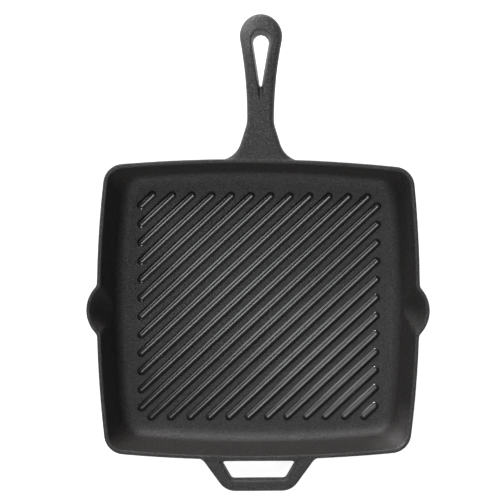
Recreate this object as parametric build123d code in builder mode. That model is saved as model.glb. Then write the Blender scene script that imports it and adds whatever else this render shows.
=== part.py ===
from build123d import *
from math import asin, atan2, cos, degrees, radians, sin, tan
import os

# A square grill pan in cast iron: bowed walls, a pour spout on each side, diagonal
# grill ribs, a long handle with a hanging slot and a short helper handle.
# Millimetres. The origin is the centre of the flat underside, +Z is up and
# +Y points along the long handle.

# Pan
rim_width = 280.0
rim_length = 261.5
rim_height = 45.0
side_bow = 7.7
end_bow = 6.8
rim_corner_radius = 17.5
base_corner_radius = 22.0
wall_thickness = 4.0
floor_thickness = 4.6
side_draft = 11.5
end_draft = 7.5
base_edge_radius = 9.0
well_corner_radius = 20.0
well_edge_radius = 11.0
rim_edge_radius = 1.4

# Pour spouts
spout_reach = 9.4
spout_radius = 30.0
spout_depth = 31.0
spout_foot_sink = 0.6
spout_blend_radius = 6.0
spout_mouth_radius = 5.0

# Grill ribs
rib_count = 24
rib_corner_share = 0.81
rib_width = 5.0
rib_height = 4.0
rib_draft = 12.0
rib_crown_radius = 1.5
rib_gap = 19.6

# Long handle, with the lengths taken along its sloping top
handle_length = 121.3
handle_rise_angle = 5.6
handle_tip_radius = 19.1
handle_waist_width = 25.3
handle_waist_distance = 34.0
handle_flare_radius = 24.0
handle_flare_angle = 17.8
handle_root_radius = 19.5
handle_root_width = 84.0
handle_thickness = 11.5
handle_draft = 12.0
handle_top_radius = 4.6
handle_bottom_radius = 3.0
handle_drop = 0.5

# Hanging slot: a tapering teardrop hole
slot_mouth_radius = 8.5
slot_mouth_length = 62.5
slot_throat_radius = 6.3
slot_throat_length = 44.6
slot_throat_setback = 4.0
slot_tip_wall = 14.2
slot_point_radius = 0.6
slot_edge_radius = 1.5

# Helper handle
helper_reach = 28.2
helper_root_width = 99.0
helper_end_width = 58.4
helper_corner_radius = 17.5
helper_root_radius = 10.0
helper_root_margin = 12.0
helper_thickness = 8.0
helper_draft = 12.0
helper_edge_radius = 2.4
helper_drop = 0.8
helper_bar_width = 10.4
helper_opening_root_width = 68.4
helper_opening_end_width = 48.0
helper_opening_corner_radius = 5.0
helper_opening_ledge = 0.6
helper_opening_draft = 15.0

# How far parts reach into each other before they are joined, and where the
# handles and spouts begin
root_sink = 0.1
root_embed = 15.0
spout_seam_offset = 1.2
handle_seam_offset = 2.6
overrun = 2.0

side_slope = tan(radians(side_draft))
end_slope = tan(radians(end_draft))
spout_foot_radius = spout_radius - spout_reach - spout_depth * side_slope - spout_foot_sink


def bowed_outline(width, length, height, corner_radius):
    """A closed outline of four bowed sides and four rounded corners."""
    corner_x = width / 2 - side_bow
    corner_y = length / 2 - end_bow
    with BuildSketch(Plane.XY.offset(height)) as outline:
        with BuildLine():
            ThreePointArc((corner_x, -corner_y), (width / 2, 0), (corner_x, corner_y))
            ThreePointArc((corner_x, corner_y), (0, length / 2), (-corner_x, corner_y))
            ThreePointArc((-corner_x, corner_y), (-width / 2, 0), (-corner_x, -corner_y))
            ThreePointArc((-corner_x, -corner_y), (0, -length / 2), (corner_x, -corner_y))
        make_face()
        fillet(outline.vertices(), corner_radius)
    return outline.sketch


def drafted_outline(inset, height, corner_radius):
    """The rim's outline drawn in by an inset and by the slopes of the walls."""
    drop = rim_height - height
    width = rim_width - 2 * (inset + drop * side_slope)
    length = rim_length - 2 * (inset + drop * end_slope)
    return bowed_outline(width, length, height, corner_radius)


def spout_cone(side, inset, top_height):
    """One upright cone whose edge stands out past the wall and forms a spout."""
    foot_height = rim_height - spout_depth
    slope = (spout_radius - spout_foot_radius) / spout_depth
    top_radius = spout_radius - inset + (top_height - rim_height) * slope
    centre_x = side * (rim_width / 2 + spout_reach - spout_radius)
    with Locations((centre_x, 0, foot_height)):
        Cone(
            spout_foot_radius - inset,
            top_radius,
            top_height - foot_height,
            rotation=(0, 0, 90 + 90 * side),
            align=(Align.CENTER, Align.CENTER, Align.MIN),
        )


# Outside of the pan as a solid block: sloping walls, rounded foot and the two spouts
with BuildPart() as outer_form:
    foot = drafted_outline(0, 0, base_corner_radius)
    rim = drafted_outline(0, rim_height, rim_corner_radius)
    loft([foot, rim])
    base_edges = outer_form.faces().sort_by(Axis.Z)[0].edges()
    fillet(base_edges, base_edge_radius)
    for side in (-1, 1):
        spout_cone(side, 0, rim_height)
        spout_creases = outer_form.edges(Select.NEW).filter_by_position(
            Axis.Z, 0, rim_height - overrun
        )
        fillet(spout_creases, spout_blend_radius)
    rim_edges = outer_form.faces().sort_by(Axis.Z)[-1].edges()
    fillet(rim_edges, rim_edge_radius)

# The hollow of the pan: sloping walls, a rounded foot and the two spout channels
with BuildPart() as well:
    well_top = rim_height + overrun
    floor = drafted_outline(wall_thickness, floor_thickness, well_corner_radius)
    mouth = drafted_outline(wall_thickness, well_top, rim_corner_radius - wall_thickness)
    loft([floor, mouth])
    floor_edges = well.faces().sort_by(Axis.Z)[0].edges()
    fillet(floor_edges, well_edge_radius)
    for side in (-1, 1):
        spout_cone(side, wall_thickness, well_top)
        mouth_edges = well.edges(Select.NEW).filter_by_position(
            Axis.Z, 0, well_top - overrun / 2
        )
        fillet(mouth_edges, spout_mouth_radius)


# Long handle, drawn on a plane that rises from the rim to the tip
handle_plane = Plane(
    origin=(0, rim_length / 2, rim_height - handle_drop),
    x_dir=(1, 0, 0),
    z_dir=(0, -sin(radians(handle_rise_angle)), cos(radians(handle_rise_angle))),
)
handle_up = Axis(handle_plane.origin, handle_plane.z_dir)
handle_waist_half = handle_waist_width / 2
tip_centre = handle_length - handle_tip_radius
neck_length = tip_centre - handle_waist_distance
neck_radius = (handle_waist_half**2 + neck_length**2 - handle_tip_radius**2) / (
    2 * (handle_tip_radius - handle_waist_half)
)
neck_share = handle_tip_radius / (neck_radius + handle_tip_radius)
shoulder_x = (handle_waist_half + neck_radius) * neck_share
shoulder_y = tip_centre - neck_length * neck_share
flare_angle = radians(handle_flare_angle)
flare_x = handle_waist_half + handle_flare_radius * (1 - cos(flare_angle))
flare_y = handle_waist_distance - handle_flare_radius * sin(flare_angle)
foot_x = flare_x + (flare_y + root_embed) * tan(flare_angle)
beyond_rim = (rim_length / 2 - end_bow, rim_length / 2 + handle_length)


def teardrop(plane, radius, length, tip):
    """A round end that narrows to a point further down the handle."""
    centre = tip - radius
    half_angle = asin(radius / (length - radius))
    side_x = radius * cos(half_angle)
    side_y = centre - radius * sin(half_angle)
    with BuildSketch(plane) as outline:
        with BuildLine():
            ThreePointArc((side_x, side_y), (0, tip), (-side_x, side_y))
            Polyline((-side_x, side_y), (0, tip - length), (side_x, side_y))
        make_face()
        fillet(outline.vertices().sort_by(Axis.Y)[0], slot_point_radius)
    return outline.sketch


with BuildPart() as handle_blank:
    with BuildSketch(handle_plane) as handle_outline:
        with BuildLine():
            TangentArc(
                (handle_waist_half, handle_waist_distance), (shoulder_x, shoulder_y), tangent=(0, 1)
            )
            ThreePointArc((shoulder_x, shoulder_y), (0, handle_length), (-shoulder_x, shoulder_y))
            TangentArc(
                (-handle_waist_half, handle_waist_distance), (-shoulder_x, shoulder_y), tangent=(0, 1)
            )
            TangentArc(
                (-handle_waist_half, handle_waist_distance), (-flare_x, flare_y), tangent=(0, -1)
            )
            Polyline(
                (-flare_x, flare_y), (-foot_x, -root_embed), (foot_x, -root_embed), (flare_x, flare_y)
            )
            TangentArc(
                (handle_waist_half, handle_waist_distance), (flare_x, flare_y), tangent=(0, -1)
            )
        make_face()
        with BuildLine():
            band_x = rim_width / 2 - side_bow
            ThreePointArc((band_x, -end_bow), (0, -root_sink), (-band_x, -end_bow))
            Polyline(
                (-band_x, -end_bow), (-band_x, -root_embed), (band_x, -root_embed), (band_x, -end_bow)
            )
        make_face()
        root_corners = handle_outline.vertices().sort_by_distance((0, 0, 0))[0:2]
        fillet(root_corners, handle_root_radius)
        with Locations((0, -root_embed)):
            Rectangle(
                handle_root_width,
                handle_length + root_embed,
                align=(Align.CENTER, Align.MIN),
                mode=Mode.INTERSECT,
            )
    extrude(amount=-handle_thickness, taper=handle_draft)
    top_edges = handle_blank.faces().sort_by(handle_up)[-1].edges()
    fillet(top_edges.filter_by_position(Axis.Y, *beyond_rim), handle_top_radius)
    bottom_edges = handle_blank.faces().sort_by(handle_up)[0].edges()
    fillet(bottom_edges.filter_by_position(Axis.Y, *beyond_rim), handle_bottom_radius)
    slot_tip = handle_length - slot_tip_wall
    slot_mouth = teardrop(handle_plane, slot_mouth_radius, slot_mouth_length, slot_tip)
    slot_throat = teardrop(
        handle_plane.offset(-handle_thickness),
        slot_throat_radius,
        slot_throat_length,
        slot_tip - slot_throat_setback,
    )
    loft([slot_throat, slot_mouth], mode=Mode.SUBTRACT)
    slot_rims = handle_blank.edges(Select.LAST).filter_by_position(
        handle_up, -slot_edge_radius, slot_edge_radius
    )
    fillet(slot_rims, slot_edge_radius)

# Helper handle: a flat loop that narrows towards its outer bar
helper_top = rim_height - helper_drop
helper_start = -rim_length / 2
helper_end = helper_start - helper_reach
helper_slant = (helper_root_width - helper_end_width) / 2 / helper_reach
helper_foot_half = helper_root_width / 2 + root_embed * helper_slant
opening_end = helper_end + helper_bar_width
opening_slant = (helper_opening_root_width - helper_opening_end_width) / 2
opening_slant = opening_slant / (helper_reach - helper_bar_width)
opening_start = helper_start - helper_opening_ledge
opening_foot_half = helper_opening_root_width / 2 - helper_opening_ledge * opening_slant
beyond_front = (helper_end, helper_start + end_bow)

with BuildPart() as helper_blank:
    with BuildSketch(Plane.XY.offset(helper_top)) as helper_outline:
        with BuildLine():
            Polyline(
                (-helper_foot_half, helper_start + root_embed),
                (-helper_end_width / 2, helper_end),
                (helper_end_width / 2, helper_end),
                (helper_foot_half, helper_start + root_embed),
                close=True,
            )
        make_face()
        fillet(helper_outline.vertices().group_by(Axis.Y)[0], helper_corner_radius)
        with BuildLine():
            band_x = rim_width / 2 - side_bow
            ThreePointArc(
                (band_x, helper_start + end_bow),
                (0, helper_start + root_sink),
                (-band_x, helper_start + end_bow),
            )
            Polyline(
                (-band_x, helper_start + end_bow),
                (-band_x, helper_start + root_embed),
                (band_x, helper_start + root_embed),
                (band_x, helper_start + end_bow),
            )
        make_face()
        root_corners = helper_outline.vertices().filter_by_position(
            Axis.Y, helper_start - root_sink, helper_start + end_bow - root_sink
        )
        fillet(root_corners, helper_root_radius)
        with Locations((0, helper_start + root_embed)):
            Rectangle(
                helper_root_width + 2 * helper_root_margin,
                helper_reach + root_embed,
                align=(Align.CENTER, Align.MAX),
                mode=Mode.INTERSECT,
            )
    extrude(amount=-helper_thickness, taper=helper_draft)
    with BuildSketch(Plane.XY.offset(helper_top)) as helper_opening:
        with BuildLine():
            Polyline(
                (-opening_foot_half, opening_start),
                (-helper_opening_end_width / 2, opening_end),
                (helper_opening_end_width / 2, opening_end),
                (opening_foot_half, opening_start),
                close=True,
            )
        make_face()
        fillet(helper_opening.vertices().group_by(Axis.Y)[0], helper_opening_corner_radius)
    extrude(amount=-helper_thickness, taper=helper_opening_draft, mode=Mode.SUBTRACT)
    top_edges = helper_blank.faces().sort_by(Axis.Z)[-1].edges()
    fillet(top_edges.filter_by_position(Axis.Y, *beyond_front), helper_edge_radius)
    bottom_edges = helper_blank.faces().sort_by(Axis.Z)[0].edges()
    fillet(bottom_edges.filter_by_position(Axis.Y, *beyond_front), helper_edge_radius)

# The whole casting, hollowed and with its inner rim edge rounded
with BuildPart() as casting:
    add(outer_form.part)
    add(handle_blank.part)
    add(helper_blank.part)
    add(well.part, mode=Mode.SUBTRACT)
    rim_face = casting.faces().filter_by(Axis.Z).sort_by(Axis.Z)[-1]
    fillet(rim_face.inner_wires()[0].edges(), rim_edge_radius)

# The casting is divided at four upright planes, where each handle and spout stands out
# past the rim
seam_x = rim_width / 2 + spout_seam_offset
seam_y = rim_length / 2 + handle_seam_offset

with BuildPart() as pan_body:
    add(casting.part)
    Box(
        2 * seam_x,
        2 * seam_y,
        rim_height + overrun,
        align=(Align.CENTER, Align.CENTER, Align.MIN),
        mode=Mode.INTERSECT,
    )

with BuildPart() as long_handle:
    add(handle_blank.part)
    split(bisect_by=Plane(origin=(0, seam_y, 0), z_dir=(0, 1, 0)), keep=Keep.TOP)

with BuildPart() as helper_handle:
    add(helper_blank.part)
    split(bisect_by=Plane(origin=(0, -seam_y, 0), z_dir=(0, -1, 0)), keep=Keep.TOP)

with BuildPart() as pour_spout_right:
    add(casting.part)
    split(bisect_by=Plane(origin=(seam_x, 0, 0), z_dir=(1, 0, 0)), keep=Keep.TOP)

with BuildPart() as pour_spout_left:
    mirror(pour_spout_right.part, about=Plane.YZ)

# Grill ribs: evenly spaced lines, parallel to the diagonal of a field that keeps its
# distance from the foot of the walls. The corner share says how much of a spacing lies
# between the field's corner and the first rib.
well_depth = rim_height - floor_thickness
field_half_x = rim_width / 2 - wall_thickness - well_depth * side_slope - rib_gap
field_half_y = rim_length / 2 - wall_thickness - well_depth * end_slope - rib_gap
rib_angle = atan2(field_half_y, field_half_x)
along_x = cos(rib_angle)
along_y = sin(rib_angle)
field_span = 2 * (field_half_x * along_y + field_half_y * along_x)
rib_pitch = field_span / (rib_count - 1 + 2 * rib_corner_share)


def rib_line(offset):
    """Middle and length of the rib whose line lies this far from the pan's centre."""
    near_x = offset * along_y
    near_y = -offset * along_x
    start = max((-field_half_x - near_x) / along_x, (-field_half_y - near_y) / along_y)
    end = min((field_half_x - near_x) / along_x, (field_half_y - near_y) / along_y)
    middle = (start + end) / 2
    return (near_x + middle * along_x, near_y + middle * along_y), end - start


ribs = []
for number in range(rib_count):
    rib_middle, rib_length = rib_line((number - (rib_count - 1) / 2) * rib_pitch)
    with BuildPart() as grill_rib:
        with BuildSketch(Plane.XY.offset(floor_thickness)):
            with Locations(rib_middle):
                SlotOverall(rib_length, rib_width, rotation=degrees(rib_angle))
        extrude(amount=rib_height, taper=rib_draft)
        crown_edges = grill_rib.faces().sort_by(Axis.Z)[-1].edges()
        fillet(crown_edges, rib_crown_radius)
    grill_rib.part.label = f"grill_rib_{number + 1:02d}"
    ribs.append(grill_rib.part)

pan_body.part.label = "pan_body"
long_handle.part.label = "long_handle"
helper_handle.part.label = "helper_handle"
pour_spout_left.part.label = "pour_spout_left"
pour_spout_right.part.label = "pour_spout_right"

os.makedirs("parts", exist_ok=True)
export_step(pan_body.part, "parts/pan_body.step")
export_step(long_handle.part, "parts/long_handle.step")
export_step(helper_handle.part, "parts/helper_handle.step")
export_step(pour_spout_left.part, "parts/pour_spout_left.step")
export_step(pour_spout_right.part, "parts/pour_spout_right.step")
for rib in ribs:
    export_step(rib, f"parts/{rib.label}.step")
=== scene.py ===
from math import cos, pi, radians, sin

import bmesh
import bpy
from mathutils import Matrix, Quaternion, Vector


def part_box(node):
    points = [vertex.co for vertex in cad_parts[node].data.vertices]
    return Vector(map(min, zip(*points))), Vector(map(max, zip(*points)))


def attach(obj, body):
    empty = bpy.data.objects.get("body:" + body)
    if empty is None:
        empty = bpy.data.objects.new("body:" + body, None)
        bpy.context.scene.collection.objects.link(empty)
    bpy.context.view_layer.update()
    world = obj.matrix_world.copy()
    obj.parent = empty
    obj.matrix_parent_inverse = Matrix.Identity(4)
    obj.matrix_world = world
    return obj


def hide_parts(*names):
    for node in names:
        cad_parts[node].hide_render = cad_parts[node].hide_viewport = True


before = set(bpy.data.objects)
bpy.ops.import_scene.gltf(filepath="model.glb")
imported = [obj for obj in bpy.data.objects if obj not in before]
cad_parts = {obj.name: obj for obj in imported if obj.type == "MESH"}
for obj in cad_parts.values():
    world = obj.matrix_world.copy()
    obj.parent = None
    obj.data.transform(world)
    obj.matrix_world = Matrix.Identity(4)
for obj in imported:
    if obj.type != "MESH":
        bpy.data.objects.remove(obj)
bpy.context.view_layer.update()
scene = bpy.context.scene

# Sizes in metres, in the frame of the pan: origin under the middle of its base, long handle along Y
casting_nodes = ["pan_body", "long_handle", "helper_handle", "pour_spout_left", "pour_spout_right"]
rib_nodes = sorted(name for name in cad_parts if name.startswith("grill_rib_"))
floor_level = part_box(rib_nodes[0])[0].z
rib_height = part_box(rib_nodes[0])[1].z - floor_level
field_half_x = max(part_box(name)[1].x for name in rib_nodes)
field_half_y = max(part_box(name)[1].y for name in rib_nodes)
handle_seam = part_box("long_handle")[0].y
helper_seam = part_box("helper_handle")[1].y
right_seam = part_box("pour_spout_right")[0].x
left_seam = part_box("pour_spout_left")[1].x

# Skin of the casting. Rounds are how often a value is evened out with those of its neighbours
weld_distance = 0.000005
skin_voxel = 0.0007
skin_triangles = 235000
skin_rounds = 1
corner_search_rounds = 8
corner_mask_rounds = 4
corner_fill_rounds = 12
corner_gain = 6000.0

# Slow waves: nearly all of the noise lies under the ceiling, so that the surface sinks and hardly rises
wave_height = 0.0003
waves_per_metre = 22.0
wave_detail = 2.0
wave_ceiling = 0.78

# Crown of the long handle: its top falls by the drop at the reach from the middle line.
# It moves no face whose normal rises less than the low slope, and wholly those over the high one
crown_drop = 0.0030
crown_reach = 0.019
crown_start = 0.14
crown_full = 0.18
crown_slope_low = -0.2
crown_slope_high = 0.4
crown_mask_rounds = 3

# Grill ribs. The corner share is the gap from the last rib to the field's corner, in rib spacings
rib_corner_share = 0.81
rib_width = 0.0058
rib_crest_width = 0.0016
rib_shoulder_width = 0.0038
rib_shoulder_drop = 0.00045
rib_dome_radius = 0.0050
rib_shoulder_radius = 0.0009
rib_root_radius = 0.0003
rib_skirt = 0.0008
rib_skirt_drop_share = 0.2
rib_seat_depth = 0.0004
rib_core_radius = 0.0002
rib_weld_distance = 0.00001
rib_end_points = 20
rib_fillet_points = 6

# Seasoned iron: colours
iron_dark = (0.013, 0.011, 0.010)
iron_brown = (0.020, 0.016, 0.014)
iron_light = (0.052, 0.049, 0.048)
iron_even = (0.024, 0.021, 0.020)
# Colour of the painted glints on the grain's tips, not the iron's own colour
iron_painted_glint = (0.170, 0.167, 0.165)
# Colour of the raised edges: partly rubbed wear, partly a painted highlight
iron_lit_wear = (0.075, 0.073, 0.072)

# Seasoned iron: grain of the sand mould, slow tones, raised edges lightened by rubbed wear and a painted
# highlight, and painted glints on the grain's tips
pebble_detail = 2.0
pebble_roughness = 0.6
pit_scale_share = 0.35
pit_heart = 0.08
pit_edge = 0.34
pit_depth_share = 0.3
speckle_low = 0.3
speckle_high = 0.66
tones_per_metre = 28.0
tone_detail = 4.0
tone_roughness = 0.55
# Where the raised edges are lightened, for rubbed wear and a painted highlight
edge_mark_onset = 0.53
edge_mark_reach = 0.06
edge_mark_patches_per_metre = 160.0
edge_mark_patch_detail = 3.0
# Where the painted glints fall: on the grain's highest tips, a little on the body and most along the long
# handle
glint_low = 0.70
glint_onset = 0.02
glint_body_share = 0.3

# Ground
ground_half = 6.0
ground_grey = 0.5
ground_lift = 0.85

# Light
# Power of a soft box one metre away that lights the pan as much as a far lamp of level 1
white_power = 3.14
strip_distance = 1.8
strip_width = 0.42
far_lamp_spread = 14.0
spot_softness = 0.012
spot_edge_share = 0.8
cool = (0.94, 0.98, 1.0)
plain = (1.0, 1.0, 1.0)
surround_strength = 0.085

# Camera, fitted to the rim, the ribs and the handles in the photograph
camera_place = Vector((-0.00430, 0.06707, 0.76164))
camera_turn = Vector((radians(-2.8190), radians(-2.5984), radians(0.3361)))
camera_lens = 60.0
camera_sensor = 36.0
camera_shift_x = -0.08544
camera_shift_y = 0.04848


def put(tree, kind, inputs=(), **options):
    """Adds a node, sets its options, and feeds its inputs with values or other sockets."""
    node = tree.nodes.new(kind)
    for option, value in options.items():
        setattr(node, option, value)
    for socket, value in dict(inputs).items():
        if isinstance(value, bpy.types.NodeSocket):
            tree.links.new(value, node.inputs[socket])
        else:
            node.inputs[socket].default_value = value
    return node


def maths(tree, operation, first, second=0.0):
    """The result of one sum on two numbers."""
    return put(tree, "ShaderNodeMath", {0: first, 1: second}, operation=operation).outputs[0]


def vector_maths(tree, operation, first, second=(0, 0, 0)):
    """The result of one sum on two vectors."""
    node = put(tree, "ShaderNodeVectorMath", {0: first, 1: second}, operation=operation)
    return node.outputs["Value" if operation == "DOT_PRODUCT" else "Vector"]


def scaled(tree, vector, factor):
    """A vector times a number."""
    node = put(tree, "ShaderNodeVectorMath", {0: vector, "Scale": factor}, operation="SCALE")
    return node.outputs["Vector"]


def split(tree, vector):
    """The X, Y and Z of a vector, by name."""
    return put(tree, "ShaderNodeSeparateXYZ", {0: vector}).outputs


def joined_vector(tree, **parts):
    """A vector from its named parts, with zero for those that aren't given."""
    return put(tree, "ShaderNodeCombineXYZ", parts).outputs[0]


def new_tree(name, kind, inputs, outputs):
    """A node tree with named inputs and outputs: lists of (name, socket type)."""
    tree = bpy.data.node_groups.new(name, kind)
    for socket_name, socket_type in inputs:
        tree.interface.new_socket(socket_name, in_out="INPUT", socket_type=socket_type)
    for socket_name, socket_type in outputs:
        tree.interface.new_socket(socket_name, in_out="OUTPUT", socket_type=socket_type)
    return tree, tree.nodes.new("NodeGroupInput").outputs, tree.nodes.new("NodeGroupOutput").inputs


def set_inputs(modifier, values):
    """Sets a node modifier's inputs by their names."""
    for item in modifier.node_group.interface.items_tree:
        if item.item_type == "SOCKET" and item.in_out == "INPUT" and item.name in values:
            modifier[item.identifier] = values[item.name]


def finished_mesh(piece, name):
    """The piece's mesh with its modifiers applied, as a new object without any."""
    evaluated = piece.evaluated_get(bpy.context.evaluated_depsgraph_get())
    mesh = bpy.data.meshes.new_from_object(evaluated)
    mesh.name = name
    result = bpy.data.objects.new(name, mesh)
    scene.collection.objects.link(result)
    bpy.data.objects.remove(piece)
    return result


# Materials

def cast_grain_group():
    """The skin that a sand mould leaves: fine pebbles, sparse pits and slow unevenness."""
    tree, given, result = new_tree(
        "cast_grain", "ShaderNodeTree",
        [("Vector", "NodeSocketVector"),
         ("Pebbles Per Metre", "NodeSocketFloat"),
         ("Pit Share", "NodeSocketFloat")],
        [("Height", "NodeSocketFloat"), ("Speckle", "NodeSocketFloat"), ("Tone", "NodeSocketFloat")],
    )
    pebbles = put(tree, "ShaderNodeTexNoise", {
        "Vector": given["Vector"], "Scale": given["Pebbles Per Metre"],
        "Detail": pebble_detail, "Roughness": pebble_roughness,
    })
    pits = put(tree, "ShaderNodeTexVoronoi", {
        "Vector": given["Vector"],
        "Scale": maths(tree, "MULTIPLY", given["Pebbles Per Metre"], pit_scale_share),
    })
    pit_mask = put(tree, "ShaderNodeMapRange", {
        "Value": pits.outputs["Distance"], "From Min": pit_heart, "From Max": pit_edge,
        "To Min": 1.0, "To Max": 0.0,
    }, interpolation_type="SMOOTHSTEP")
    sunk = maths(tree, "MULTIPLY", pit_mask.outputs[0], given["Pit Share"])
    height = maths(tree, "SUBTRACT", pebbles.outputs["Fac"], sunk)
    speckle = put(tree, "ShaderNodeMapRange", {
        "Value": height, "From Min": speckle_low, "From Max": speckle_high,
    })
    slow = put(tree, "ShaderNodeTexNoise", {
        "Vector": given["Vector"], "Scale": tones_per_metre,
        "Detail": tone_detail, "Roughness": tone_roughness,
    })
    tree.links.new(height, result["Height"])
    tree.links.new(speckle.outputs[0], result["Speckle"])
    tree.links.new(slow.outputs["Fac"], result["Tone"])
    return tree


def edge_wear_and_highlight_group():
    """A mask for raised edges, where the seasoning is rubbed thin and a painted highlight lightens them."""
    tree, given, result = new_tree(
        "edge_wear_and_highlight", "ShaderNodeTree",
        [("Vector", "NodeSocketVector"), ("Reach", "NodeSocketFloat")],
        [("Mask", "NodeSocketFloat")],
    )
    geometry = tree.nodes.new("ShaderNodeNewGeometry")
    raised = put(tree, "ShaderNodeMapRange", {
        "Value": geometry.outputs["Pointiness"], "From Min": edge_mark_onset,
        "From Max": maths(tree, "ADD", given["Reach"], edge_mark_onset),
    }, interpolation_type="SMOOTHSTEP")
    patches = put(tree, "ShaderNodeTexNoise", {
        "Vector": given["Vector"], "Scale": edge_mark_patches_per_metre, "Detail": edge_mark_patch_detail,
    })
    mask = maths(tree, "MULTIPLY", raised.outputs[0], patches.outputs["Fac"])
    tree.links.new(mask, result["Mask"])
    return tree


cast_grain = cast_grain_group()
edge_wear_and_highlight = edge_wear_and_highlight_group()


def blend(tree, share, first, second):
    """A mix of two colours, each a socket or written as three numbers."""
    node = put(tree, "ShaderNodeMix", {"Factor": share}, data_type="RGBA")
    sockets = [s for s in node.inputs if s.enabled and s.type == "RGBA"]
    for socket, colour in zip(sockets, (first, second)):
        if isinstance(colour, bpy.types.NodeSocket):
            tree.links.new(colour, socket)
        else:
            socket.default_value = (*colour, 1)
    return next(s for s in node.outputs if s.enabled)


def seasoned_iron(name, light, pebbles_per_metre, grain_depth, smooth, rough, sheen_index, glint):
    """Black seasoned cast iron with a sand-cast grain, with painted glints on the grain's tips, most on the
    long handle.
    """
    material = bpy.data.materials.new(name)
    material.use_nodes = True
    tree = material.node_tree
    shader = tree.nodes["Principled BSDF"]
    place = tree.nodes.new("ShaderNodeTexCoord").outputs["Object"]
    grain = put(tree, "ShaderNodeGroup", {
        "Vector": place, "Pebbles Per Metre": pebbles_per_metre, "Pit Share": pit_depth_share,
    }, node_tree=cast_grain)
    edge_mark = put(tree, "ShaderNodeGroup", {"Vector": place, "Reach": edge_mark_reach}, node_tree=edge_wear_and_highlight)

    dark = blend(tree, grain.outputs["Tone"], iron_dark, iron_brown)
    speckled = blend(tree, grain.outputs["Speckle"], dark, light)
    # Painted glints: the grain's tips are lightened towards the glint colour, little on the body and most
    # on the long handle
    handle_glint_share = put(tree, "ShaderNodeMapRange", {
        "Value": split(tree, place)["Y"],
        "From Min": handle_seam, "From Max": handle_seam + glint_onset,
        "To Min": glint * glint_body_share, "To Max": glint,
    }, interpolation_type="SMOOTHSTEP")
    glint_tips = put(tree, "ShaderNodeMapRange", {
        "Value": grain.outputs["Speckle"], "From Min": glint_low, "From Max": 1.0,
    })
    painted_glints = maths(tree, "MULTIPLY", glint_tips.outputs[0], handle_glint_share.outputs[0])
    glinted_colour = blend(tree, painted_glints, speckled, iron_painted_glint)
    # Raised edges lightened: partly rubbed wear, partly a painted highlight
    lit_wear_colour = blend(tree, edge_mark.outputs["Mask"], glinted_colour, iron_lit_wear)
    tree.links.new(lit_wear_colour, shader.inputs["Base Color"])

    roughness = put(tree, "ShaderNodeMapRange", {
        "Value": grain.outputs["Speckle"], "To Min": rough, "To Max": smooth,
    })
    tree.links.new(roughness.outputs[0], shader.inputs["Roughness"])
    bump = put(tree, "ShaderNodeBump", {
        "Strength": 1.0, "Distance": grain_depth, "Height": grain.outputs["Height"],
    })
    tree.links.new(bump.outputs["Normal"], shader.inputs["Normal"])
    shader.inputs["IOR"].default_value = sheen_index
    return material


casting_iron = seasoned_iron(
    "casting_iron", light=iron_light, pebbles_per_metre=1150.0, grain_depth=0.00050,
    smooth=0.34, rough=0.54, sheen_index=1.50, glint=0.8,
)
rib_iron = seasoned_iron(
    "rib_iron", light=iron_even, pebbles_per_metre=850.0, grain_depth=0.00001,
    smooth=0.20, rough=0.23, sheen_index=1.85, glint=0.0,
)


# Casting: body, handles and spouts under one skin

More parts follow.
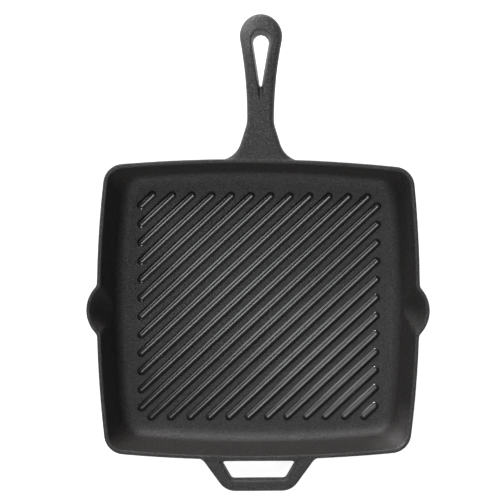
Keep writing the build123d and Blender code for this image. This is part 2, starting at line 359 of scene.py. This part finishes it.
def softened_casting_tree():
    """Fills the inside corners as molten iron does, waves the skin and crowns the long handle."""
    tree, given, result = new_tree(
        "softened_casting", "GeometryNodeTree",
        [("Geometry", "NodeSocketGeometry"),
         ("Skin Rounds", "NodeSocketInt"),
         ("Search Rounds", "NodeSocketInt"),
         ("Mask Rounds", "NodeSocketInt"),
         ("Fill Rounds", "NodeSocketInt"),
         ("Corner Gain", "NodeSocketFloat"),
         ("Wave Height", "NodeSocketFloat"),
         ("Waves Per Metre", "NodeSocketFloat"),
         ("Wave Ceiling", "NodeSocketFloat"),
         ("Crown Drop", "NodeSocketFloat"),
         ("Crown Reach", "NodeSocketFloat"),
         ("Crown Start", "NodeSocketFloat"),
         ("Crown Full", "NodeSocketFloat"),
         ("Crown Mask Rounds", "NodeSocketInt"),
         ("Material", "NodeSocketMaterial")],
        [("Geometry", "NodeSocketGeometry")],
    )
    position = tree.nodes.new("GeometryNodeInputPosition").outputs[0]
    normal = tree.nodes.new("GeometryNodeInputNormal").outputs[0]

    def blurred(value, rounds, data_type, weight=None):
        """A value evened out with its neighbours', as far as the weight lets it."""
        node = put(tree, "GeometryNodeBlurAttribute", {"Iterations": rounds}, data_type=data_type)
        socket = next(s for s in node.inputs if s.name == "Value" and s.enabled)
        tree.links.new(value, socket)
        if weight is not None:
            tree.links.new(weight, node.inputs["Weight"])
        return next(s for s in node.outputs if s.enabled)

    # Even the steps that the voxels leave
    evened = put(tree, "GeometryNodeSetPosition", {
        "Geometry": given["Geometry"],
        "Position": blurred(position, given["Skin Rounds"], "FLOAT_VECTOR"),
    })

    # Find the inside corners, where the neighbours lie on the outer side, and round them
    spread = blurred(position, given["Search Rounds"], "FLOAT_VECTOR")
    towards = vector_maths(tree, "DOT_PRODUCT", vector_maths(tree, "SUBTRACT", spread, position), normal)
    hollow = put(tree, "ShaderNodeClamp", {"Value": maths(tree, "MULTIPLY", towards, given["Corner Gain"])})
    hollow_soft = blurred(hollow.outputs[0], given["Mask Rounds"], "FLOAT")
    filled = put(tree, "GeometryNodeSetPosition", {
        "Geometry": evened.outputs[0],
        "Position": blurred(position, given["Fill Rounds"], "FLOAT_VECTOR", hollow_soft),
    })

    # Sink the skin in slow waves
    waves = put(tree, "ShaderNodeTexNoise", {
        "Vector": position, "Scale": given["Waves Per Metre"], "Detail": wave_detail,
    })
    below = maths(tree, "SUBTRACT", waves.outputs["Fac"], given["Wave Ceiling"])
    waved = put(tree, "GeometryNodeSetPosition", {
        "Geometry": filled.outputs[0],
        "Offset": scaled(tree, normal, maths(tree, "MULTIPLY", below, given["Wave Height"])),
    })

    # Crown the top of the long handle
    spot = split(tree, position)
    side_share = maths(tree, "DIVIDE", spot["X"], given["Crown Reach"])
    length_share = put(tree, "ShaderNodeMapRange", {
        "Value": spot["Y"], "From Min": given["Crown Start"], "From Max": given["Crown Full"],
    }, interpolation_type="SMOOTHSTEP")
    facing_up = put(tree, "ShaderNodeMapRange", {
        "Value": split(tree, normal)["Z"], "From Min": crown_slope_low, "From Max": crown_slope_high,
    }, interpolation_type="SMOOTHSTEP")
    top_share = maths(
        tree, "MULTIPLY", length_share.outputs[0],
        blurred(facing_up.outputs[0], given["Crown Mask Rounds"], "FLOAT"),
    )
    drop_share = maths(tree, "MULTIPLY", maths(tree, "MULTIPLY", side_share, side_share), top_share)
    fall = maths(tree, "MULTIPLY", drop_share, maths(tree, "MULTIPLY", given["Crown Drop"], -1.0))
    crowned = put(tree, "GeometryNodeSetPosition", {
        "Geometry": waved.outputs[0], "Offset": joined_vector(tree, Z=fall),
    })
    coated = put(tree, "GeometryNodeSetMaterial", {
        "Geometry": crowned.outputs[0], "Material": given["Material"],
    })
    tree.links.new(coated.outputs[0], result["Geometry"])
    return tree


def joined_casting():
    """Copies of the casting's nodes in one mesh, each node's loose triangles welded."""
    joined = bmesh.new()
    for name in casting_nodes:
        shell = bmesh.new()
        shell.from_mesh(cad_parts[name].data)
        bmesh.ops.remove_doubles(shell, verts=shell.verts, dist=weld_distance)
        welded = bpy.data.meshes.new("welded")
        shell.to_mesh(welded)
        shell.free()
        joined.from_mesh(welded)
        bpy.data.meshes.remove(welded)
    mesh = bpy.data.meshes.new("casting")
    joined.to_mesh(mesh)
    joined.free()
    return mesh


def casting_skin():
    """The whole casting as one smooth mesh."""
    skin = bpy.data.objects.new("casting", joined_casting())
    scene.collection.objects.link(skin)
    remesh = skin.modifiers.new("one skin", "REMESH")
    remesh.mode = "VOXEL"
    remesh.voxel_size = skin_voxel
    remesh.use_smooth_shade = True
    soften = skin.modifiers.new("soften", "NODES")
    soften.node_group = softened_casting_tree()
    set_inputs(soften, {
        "Skin Rounds": skin_rounds,
        "Search Rounds": corner_search_rounds,
        "Mask Rounds": corner_mask_rounds,
        "Fill Rounds": corner_fill_rounds,
        "Corner Gain": corner_gain,
        "Wave Height": wave_height,
        "Waves Per Metre": waves_per_metre,
        "Wave Ceiling": wave_ceiling,
        "Crown Drop": crown_drop,
        "Crown Reach": crown_reach,
        "Crown Start": crown_start,
        "Crown Full": crown_full,
        "Crown Mask Rounds": crown_mask_rounds,
        "Material": casting_iron,
    })
    skin = finished_mesh(skin, "casting")
    triangles = 2 * len(skin.data.polygons)
    thin = skin.modifiers.new("thin out", "DECIMATE")
    thin.ratio = min(1.0, skin_triangles / triangles)
    return finished_mesh(skin, "casting")


def cut_piece(skin, name, node, cuts):
    """The part of the skin behind each cut plane, closed by flat faces where it was cut."""
    part = bmesh.new()
    part.from_mesh(skin.data)
    for point, outward in cuts:
        cut = bmesh.ops.bisect_plane(
            part, geom=part.verts[:] + part.edges[:] + part.faces[:], dist=weld_distance,
            plane_co=point, plane_no=outward, clear_outer=True,
        )
        rim = [g for g in cut["geom_cut"] if isinstance(g, bmesh.types.BMEdge)]
        bmesh.ops.triangle_fill(part, edges=rim, use_beauty=True, normal=outward)
        for edge in rim:
            edge.smooth = False
    mesh = bpy.data.meshes.new(name)
    part.to_mesh(mesh)
    part.free()
    mesh.materials.append(casting_iron)
    piece = bpy.data.objects.new(name, mesh)
    scene.collection.objects.link(piece)
    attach(piece, "root")
    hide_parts(node)


# Planes between the body and what it carries: a point on each, and its side away from the body
handle_cut = (Vector((0, handle_seam, 0)), Vector((0, 1, 0)))
helper_cut = (Vector((0, helper_seam, 0)), Vector((0, -1, 0)))
right_cut = (Vector((right_seam, 0, 0)), Vector((1, 0, 0)))
left_cut = (Vector((left_seam, 0, 0)), Vector((-1, 0, 0)))

skin = casting_skin()
cut_piece(skin, "pan", "pan_body", [handle_cut, helper_cut, right_cut, left_cut])
for name, node, (point, outward) in (
    ("handle", "long_handle", handle_cut),
    ("helper", "helper_handle", helper_cut),
    ("right_spout_lip", "pour_spout_right", right_cut),
    ("left_spout_lip", "pour_spout_left", left_cut),
):
    cut_piece(skin, name, node, [(point, -outward)])
bpy.data.objects.remove(skin)


# Grill ribs

def rib_tree():
    """Parallel ribs across a field, each a crowned bar with a soft shoulder and a root fillet."""
    tree, given, result = new_tree(
        "grill_ribs", "GeometryNodeTree",
        [("Rib Count", "NodeSocketInt"),
         ("Field Half", "NodeSocketVector"),
         ("Corner Share", "NodeSocketFloat"),
         ("Floor Level", "NodeSocketFloat"),
         ("Rib Height", "NodeSocketFloat"),
         ("Base Width", "NodeSocketFloat"),
         ("Crest Width", "NodeSocketFloat"),
         ("Shoulder Width", "NodeSocketFloat"),
         ("Shoulder Drop", "NodeSocketFloat"),
         ("Dome Radius", "NodeSocketFloat"),
         ("Shoulder Radius", "NodeSocketFloat"),
         ("Root Radius", "NodeSocketFloat"),
         ("Skirt", "NodeSocketFloat"),
         ("Skirt Drop Share", "NodeSocketFloat"),
         ("Seat Depth", "NodeSocketFloat"),
         ("Core Radius", "NodeSocketFloat"),
         ("Weld Distance", "NodeSocketFloat"),
         ("End Points", "NodeSocketInt"),
         ("Fillet Points", "NodeSocketInt"),
         ("Material", "NodeSocketMaterial")],
        [("Geometry", "NodeSocketGeometry")],
    )

    # Direction of the ribs, along the field's diagonal, and the spacing across it
    half = given["Field Half"]
    along = vector_maths(tree, "NORMALIZE", half)
    across = vector_maths(tree, "CROSS_PRODUCT", along, (0, 0, 1))
    half_parts = split(tree, half)
    along_parts = split(tree, along)
    span = maths(tree, "MULTIPLY", 2.0, maths(
        tree, "ADD",
        maths(tree, "MULTIPLY", half_parts["X"], along_parts["Y"]),
        maths(tree, "MULTIPLY", half_parts["Y"], along_parts["X"]),
    ))
    gaps = maths(tree, "SUBTRACT", given["Rib Count"], 1.0)
    pitch = maths(tree, "DIVIDE", span, maths(
        tree, "ADD", gaps, maths(tree, "MULTIPLY", given["Corner Share"], 2.0)
    ))
    first = maths(tree, "MULTIPLY", maths(tree, "MULTIPLY", gaps, pitch), -0.5)
    rib_points = put(tree, "GeometryNodeMeshLine", {
        "Count": given["Rib Count"],
        "Start Location": scaled(tree, across, first),
        "Offset": scaled(tree, across, pitch),
    }, mode="OFFSET")

    # Where each rib's line enters and leaves the field. The divisor's Z only keeps clear of zero
    position = tree.nodes.new("GeometryNodeInputPosition").outputs[0]
    divisor = vector_maths(tree, "ADD", along, (0, 0, 1))

    def reach(corner, operation):
        """The distance along the rib's line to the nearer or farther of two sides of the field."""
        distances = vector_maths(tree, "DIVIDE", vector_maths(tree, "SUBTRACT", corner, position), divisor)
        parts = split(tree, distances)
        return maths(tree, operation, parts["X"], parts["Y"])

    end = reach(half, "MINIMUM")
    start = reach(scaled(tree, half, -1.0), "MAXIMUM")
    middle = maths(tree, "MULTIPLY", maths(tree, "ADD", start, end), 0.5)
    length_half = maths(tree, "MULTIPLY", maths(tree, "SUBTRACT", end, start), 0.5)
    straight_half = maths(
        tree, "SUBTRACT", length_half, maths(tree, "MULTIPLY", given["Base Width"], 0.5)
    )
    measured = put(tree, "GeometryNodeStoreNamedAttribute", {
        "Geometry": rib_points.outputs[0], "Name": "straight_half", "Value": straight_half,
    }, data_type="FLOAT", domain="POINT")
    centred = put(tree, "GeometryNodeSetPosition", {
        "Geometry": measured.outputs[0], "Offset": scaled(tree, along, middle),
    })

    # The line round each rib's core: a small ring whose two halves are drawn apart
    ring = put(tree, "GeometryNodeCurvePrimitiveCircle", {
        "Resolution": given["End Points"], "Radius": given["Core Radius"],
    })
    half_step = maths(tree, "DIVIDE", pi, given["End Points"])
    turned = put(tree, "GeometryNodeTransform", {
        "Geometry": ring.outputs[0], "Rotation": joined_vector(tree, Z=half_step),
    })
    side = maths(tree, "SIGN", split(tree, position)["X"])
    sided = put(tree, "GeometryNodeStoreNamedAttribute", {
        "Geometry": turned.outputs[0], "Name": "side", "Value": side,
    }, data_type="FLOAT", domain="POINT")
    angle = maths(tree, "ARCTAN2", along_parts["Y"], along_parts["X"])
    rings = put(tree, "GeometryNodeInstanceOnPoints", {
        "Points": centred.outputs[0], "Instance": sided.outputs[0],
        "Rotation": joined_vector(tree, Z=angle),
    })
    real = put(tree, "GeometryNodeRealizeInstances", {0: rings.outputs[0]})
    named = {
        name: put(tree, "GeometryNodeInputNamedAttribute", {"Name": name}, data_type="FLOAT").outputs[0]
        for name in ("side", "straight_half")
    }
    drawn = maths(tree, "MULTIPLY", named["side"], named["straight_half"])
    cores = put(tree, "GeometryNodeSetPosition", {
        "Geometry": real.outputs[0], "Offset": scaled(tree, along, drawn),
    })

    # Half of the rib's section, from the crest over the shoulder and the root to the seat
    def corner(width, height, widen=0.0):
        """A corner of the section at half a width from the rib's middle line."""
        reach_out = maths(
            tree, "SUBTRACT", maths(tree, "MULTIPLY", width, 0.5), given["Core Radius"]
        )
        return joined_vector(tree, X=maths(tree, "ADD", reach_out, widen), Y=height)

    seat = maths(tree, "MULTIPLY", given["Seat Depth"], -1.0)
    skirt_drop = maths(tree, "MULTIPLY", seat, given["Skirt Drop Share"])
    shoulder_height = maths(tree, "SUBTRACT", given["Rib Height"], given["Shoulder Drop"])
    corners = [
        joined_vector(tree, Y=given["Rib Height"]),
        corner(given["Crest Width"], given["Rib Height"]),
        corner(given["Shoulder Width"], shoulder_height),
        corner(given["Base Width"], 0.0),
        corner(given["Base Width"], skirt_drop, given["Skirt"]),
        corner(given["Base Width"], seat, given["Skirt"]),
        joined_vector(tree, Y=seat),
    ]
    index = tree.nodes.new("GeometryNodeInputIndex").outputs[0]
    places = put(tree, "GeometryNodeIndexSwitch", {"Index": index}, data_type="VECTOR")
    radii = put(tree, "GeometryNodeIndexSwitch", {"Index": index}, data_type="FLOAT")
    for switch in (places, radii):
        while len(switch.index_switch_items) < len(corners):
            switch.index_switch_items.new()
    for number, place in enumerate(corners):
        tree.links.new(place, places.inputs[number + 1])
    for number, radius in ((1, "Dome Radius"), (2, "Shoulder Radius"), (3, "Root Radius")):
        tree.links.new(given[radius], radii.inputs[number + 1])
    line = put(tree, "GeometryNodeMeshLine", {"Count": len(corners)})
    bent = put(tree, "GeometryNodeSetPosition", {
        "Geometry": line.outputs[0], "Position": places.outputs[0],
    })
    section = put(tree, "GeometryNodeMeshToCurve", {0: bent.outputs[0]})
    rounded = put(tree, "GeometryNodeFilletCurve", {
        "Curve": section.outputs[0], "Count": given["Fillet Points"], "Radius": radii.outputs[0],
        "Limit Radius": True,
    }, mode="POLY")

    # Walls of the ribs, and the narrow lids along their crests and undersides
    upright = put(tree, "GeometryNodeSetCurveNormal", {0: cores.outputs[0]}, mode="Z_UP")
    walls = put(tree, "GeometryNodeCurveToMesh", {
        "Curve": upright.outputs[0], "Profile Curve": rounded.outputs[0],
    })
    lid = put(tree, "GeometryNodeFillCurve", {"Curve": cores.outputs[0]}, mode="NGONS")
    top = put(tree, "GeometryNodeTransform", {
        "Geometry": lid.outputs[0], "Translation": joined_vector(tree, Z=given["Rib Height"]),
    })
    under = put(tree, "GeometryNodeTransform", {
        "Geometry": put(tree, "GeometryNodeFlipFaces", {0: lid.outputs[0]}).outputs[0],
        "Translation": joined_vector(tree, Z=seat),
    })
    joined = tree.nodes.new("GeometryNodeJoinGeometry")
    for source in (walls, top, under):
        tree.links.new(source.outputs[0], joined.inputs[0])
    merged = put(tree, "GeometryNodeMergeByDistance", {
        "Geometry": joined.outputs[0], "Distance": given["Weld Distance"],
    })
    seated = put(tree, "GeometryNodeTransform", {
        "Geometry": merged.outputs[0], "Translation": joined_vector(tree, Z=given["Floor Level"]),
    })
    smooth = put(tree, "GeometryNodeSetShadeSmooth", {"Geometry": seated.outputs[0], "Shade Smooth": True})
    coated = put(tree, "GeometryNodeSetMaterial", {
        "Geometry": smooth.outputs[0], "Material": given["Material"],
    })
    tree.links.new(coated.outputs[0], result["Geometry"])
    return tree


def grill_ribs():
    """All the ribs as one mesh on the pan's floor."""
    carrier = bpy.data.objects.new("grill_ribs", bpy.data.meshes.new("rib carrier"))
    scene.collection.objects.link(carrier)
    pattern = carrier.modifiers.new("ribs", "NODES")
    pattern.node_group = rib_tree()
    set_inputs(pattern, {
        "Rib Count": len(rib_nodes),
        "Field Half": (field_half_x, field_half_y, 0.0),
        "Corner Share": rib_corner_share,
        "Floor Level": floor_level,
        "Rib Height": rib_height,
        "Base Width": rib_width,
        "Crest Width": rib_crest_width,
        "Shoulder Width": rib_shoulder_width,
        "Shoulder Drop": rib_shoulder_drop,
        "Dome Radius": rib_dome_radius,
        "Shoulder Radius": rib_shoulder_radius,
        "Root Radius": rib_root_radius,
        "Skirt": rib_skirt,
        "Skirt Drop Share": rib_skirt_drop_share,
        "Seat Depth": rib_seat_depth,
        "Core Radius": rib_core_radius,
        "Weld Distance": rib_weld_distance,
        "End Points": rib_end_points,
        "Fillet Points": rib_fillet_points,
        "Material": rib_iron,
    })
    ribs = finished_mesh(carrier, "grill_ribs")
    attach(ribs, "root")
    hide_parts(*rib_nodes)


grill_ribs()


# Ground, light and camera

def white_ground():
    """Pale ground that the camera and reflections see as white, but that keeps the shadow."""
    material = bpy.data.materials.new("white_ground")
    material.use_nodes = True
    tree = material.node_tree
    tree.nodes.clear()
    path = tree.nodes.new("ShaderNodeLightPath").outputs
    seen = maths(tree, "MAXIMUM", path["Is Camera Ray"], maths(
        tree, "MAXIMUM", path["Is Glossy Ray"], path["Is Transmission Ray"]
    ))
    paint = put(tree, "ShaderNodeBsdfDiffuse", {"Color": (ground_grey, ground_grey, ground_grey, 1)})
    lift = put(tree, "ShaderNodeEmission", {
        "Color": (1, 1, 1, 1), "Strength": maths(tree, "MULTIPLY", seen, ground_lift),
    })
    both = put(tree, "ShaderNodeAddShader", {0: paint.outputs[0], 1: lift.outputs[0]})
    put(tree, "ShaderNodeOutputMaterial", {"Surface": both.outputs[0]})
    return material


def ground():
    """A wide flat sheet under the pan."""
    mesh = bpy.data.meshes.new("ground")
    sheet = bmesh.new()
    bmesh.ops.create_grid(sheet, x_segments=1, y_segments=1, size=ground_half)
    sheet.to_mesh(mesh)
    sheet.free()
    mesh.materials.append(white_ground())
    plane = bpy.data.objects.new("ground", mesh)
    scene.collection.objects.link(plane)


def bearing(azimuth, height):
    """The direction from the pan towards a lamp, from two angles in degrees."""
    across = cos(radians(height))
    return Vector((
        cos(radians(azimuth)) * across, sin(radians(azimuth)) * across, sin(radians(height)),
    ))


def new_lamp(name, kind, power, colour):
    """A lamp's power and colour, before it has a place."""
    lamp = bpy.data.lights.new(name, kind)
    lamp.energy = power
    lamp.color = colour
    return lamp


def aim(lamp, place, direction):
    """Stands a lamp at a place and turns it to shine in a direction."""
    holder = bpy.data.objects.new(lamp.name, lamp)
    holder.location = place
    holder.rotation_mode = "QUATERNION"
    holder.rotation_quaternion = direction.to_track_quat("-Z", "Y")
    scene.collection.objects.link(holder)


def strip_lamp(name, azimuth, height, level, length, colour):
    """A long soft box over the pan, laid parallel to the ribs."""
    lamp = new_lamp(name, "AREA", level * white_power * strip_distance ** 2, colour)
    lamp.shape = "RECTANGLE"
    lamp.size = length
    lamp.size_y = strip_width
    towards = bearing(azimuth, height)
    ribs_run = Vector((field_half_x, field_half_y, 0)).normalized()
    side = towards.cross(ribs_run).normalized()
    holder = bpy.data.objects.new(name, lamp)
    holder.matrix_world = Matrix.Translation(towards * strip_distance) @ Matrix(
        (side.cross(towards), side, towards)
    ).transposed().to_4x4()
    scene.collection.objects.link(holder)


def far_lamp(name, azimuth, height, level, colour):
    """A soft light so far away that it reaches every part of the pan from the same side."""
    lamp = new_lamp(name, "SUN", level, colour)
    lamp.angle = radians(far_lamp_spread)
    aim(lamp, Vector((0, 0, 0)), -bearing(azimuth, height))


def near_lamp(name, place, target, size, power, colour):
    """A round soft box near the pan, which lights the end beside it the most."""
    lamp = new_lamp(name, "AREA", power, colour)
    lamp.shape = "DISK"
    lamp.size = size
    aim(lamp, place, Vector(target) - Vector(place))


def spot_lamp(name, place, target, power, cone, colour):
    """A spot with a soft edge that picks out one place on the pan."""
    lamp = new_lamp(name, "SPOT", power, colour)
    lamp.spot_size = radians(cone)
    lamp.spot_blend = spot_edge_share
    lamp.shadow_soft_size = spot_softness
    aim(lamp, place, Vector(target) - Vector(place))


def studio():
    """A surround that looks white but lights little, and lamps, the strongest low behind the handle."""
    world = bpy.data.worlds.new("studio")
    world.use_nodes = True
    tree = world.node_tree
    path = tree.nodes.new("ShaderNodeLightPath").outputs
    seen = maths(tree, "MAXIMUM", path["Is Camera Ray"], path["Is Transmission Ray"])
    strength = maths(tree, "MAXIMUM", seen, surround_strength)
    background = tree.nodes["Background"]
    background.inputs["Color"].default_value = (1, 1, 1, 1)
    tree.links.new(strength, background.inputs["Strength"])
    scene.world = world
    strip_lamp("overhead", azimuth=315, height=82, level=0.85, length=1.1, colour=cool)
    strip_lamp("lower_right", azimuth=315, height=60, level=0.10, length=1.1, colour=plain)
    strip_lamp("upper_left", azimuth=133, height=46, level=0.55, length=1.3, colour=cool)
    near_lamp(
        "handle_side", place=(-0.52, 0.58, 0.32), target=(0.0, 0.20, 0.04),
        size=0.42, power=1.3, colour=cool,
    )
    far_lamp("back_low", azimuth=99, height=17, level=2.20, colour=plain)
    far_lamp("front_low", azimuth=270, height=18, level=0.65, colour=plain)
    far_lamp("left_low", azimuth=180, height=12, level=0.15, colour=plain)
    spot_lamp(
        "lower_right_corner", place=(-0.22, 0.28, 0.145), target=(0.126, -0.115, 0.036),
        power=16.0, cone=5.0, colour=cool,
    )
    spot_lamp(
        "handle_tip", place=(-0.34, 0.44, 0.40), target=(-0.014, 0.246, 0.054),
        power=11.0, cone=6.0, colour=cool,
    )


def camera():
    """The camera over the pan, at the photograph's place and framing."""
    data = bpy.data.cameras.new("camera")
    data.lens = camera_lens
    data.sensor_width = camera_sensor
    data.shift_x = camera_shift_x
    data.shift_y = camera_shift_y
    holder = bpy.data.objects.new("camera", data)
    holder.location = camera_place
    holder.rotation_mode = "QUATERNION"
    holder.rotation_quaternion = Quaternion(camera_turn.normalized(), camera_turn.length)
    scene.collection.objects.link(holder)
    scene.camera = holder


ground()
studio()
camera()
scene.view_settings.view_transform = "Standard"
